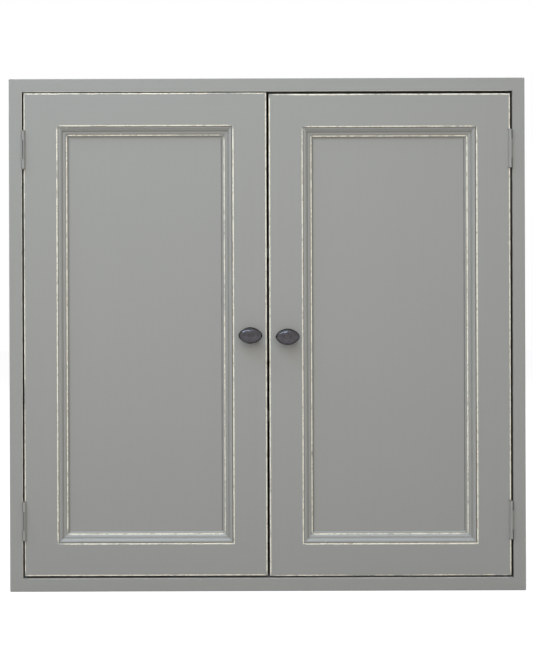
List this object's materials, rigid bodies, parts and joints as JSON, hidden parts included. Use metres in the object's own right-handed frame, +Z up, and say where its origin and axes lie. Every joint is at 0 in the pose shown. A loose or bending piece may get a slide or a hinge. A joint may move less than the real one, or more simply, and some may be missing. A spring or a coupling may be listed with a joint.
{
  "type": "two-door cabinet",
  "caption": "Painted wooden wall cupboard with inset panelled doors on butt hinges, oval knobs, housed shelves and a boarded back.",
  "frame": {"origin": "centre of the carcass's underside: the middle of its width and of its depth, at the height of the lowest face", "axes": "+Z up, -Y out of the front with the doors, +Y to the wall, +X to the right seen from the front"},
  "size_m": [0.8, 0.324, 0.795],
  "materials": {
    "painted_wood": "grey eggshell paint, rubbed through to cream along the arrises",
    "back_boards": "grey eggshell paint inside, bare softwood behind",
    "painted_steel": "painted over with the doors",
    "steel": "zinc plated, satin",
    "catch_plastic": "matt, off white",
    "knob_iron": "dark, lightly hammered, waxed"
  },
  "bodies": {
    "carcass": {"top_board": "painted_wood", "bottom_board": "painted_wood", "left_side": "painted_wood", "right_side": "painted_wood", "shelf_lower": "painted_wood", "shelf_upper": "painted_wood", "hanging_rail": "painted_wood", "back_board_1": "back_boards", "back_board_2": "back_boards", "back_board_3": "back_boards", "back_board_4": "back_boards", "back_board_5": "back_boards", "back_board_6": "back_boards", "back_board_7": "back_boards", "left_hinge_frame_leaves": "painted_steel", "left_hinge_pins": "steel", "left_frame_screws": "steel", "left_catch_case": "catch_plastic", "left_catch_magnet": "steel", "left_catch_screws": "steel", "right_hinge_frame_leaves": "painted_steel", "right_hinge_pins": "steel", "right_frame_screws": "steel", "right_catch_case": "catch_plastic", "right_catch_magnet": "steel", "right_catch_screws": "steel"},
    "left_door": {"left_door_hinge_stile": "painted_wood", "left_door_meeting_stile": "painted_wood", "left_door_top_rail": "painted_wood", "left_door_bottom_rail": "painted_wood", "left_door_panel": "painted_wood", "left_door_hinge_moulding": "painted_wood", "left_door_meeting_moulding": "painted_wood", "left_door_top_moulding": "painted_wood", "left_door_bottom_moulding": "painted_wood", "left_hinge_door_leaves": "painted_steel", "left_door_screws": "steel", "left_knob": "knob_iron", "left_knob_screw": "steel", "left_strike_plate": "steel", "left_strike_screw": "steel"},
    "right_door": {"right_door_hinge_stile": "painted_wood", "right_door_meeting_stile": "painted_wood", "right_door_top_rail": "painted_wood", "right_door_bottom_rail": "painted_wood", "right_door_panel": "painted_wood", "right_door_hinge_moulding": "painted_wood", "right_door_meeting_moulding": "painted_wood", "right_door_top_moulding": "painted_wood", "right_door_bottom_moulding": "painted_wood", "right_hinge_door_leaves": "painted_steel", "right_door_screws": "steel", "right_knob": "knob_iron", "right_knob_screw": "steel", "right_strike_plate": "steel", "right_strike_screw": "steel"}
  },
  "joints": [
    {"name": "left_door_hinge", "type": "hinge", "parent": "carcass", "child": "left_door", "pos_m": [-0.3773, -0.1531, 0.3975], "axis": [0, 0, -1], "range_deg": [0, 180]},
    {"name": "right_door_hinge", "type": "hinge", "parent": "carcass", "child": "right_door", "pos_m": [0.3773, -0.1531, 0.3975], "axis": [0, 0, 1], "range_deg": [0, 180]}
  ]
}
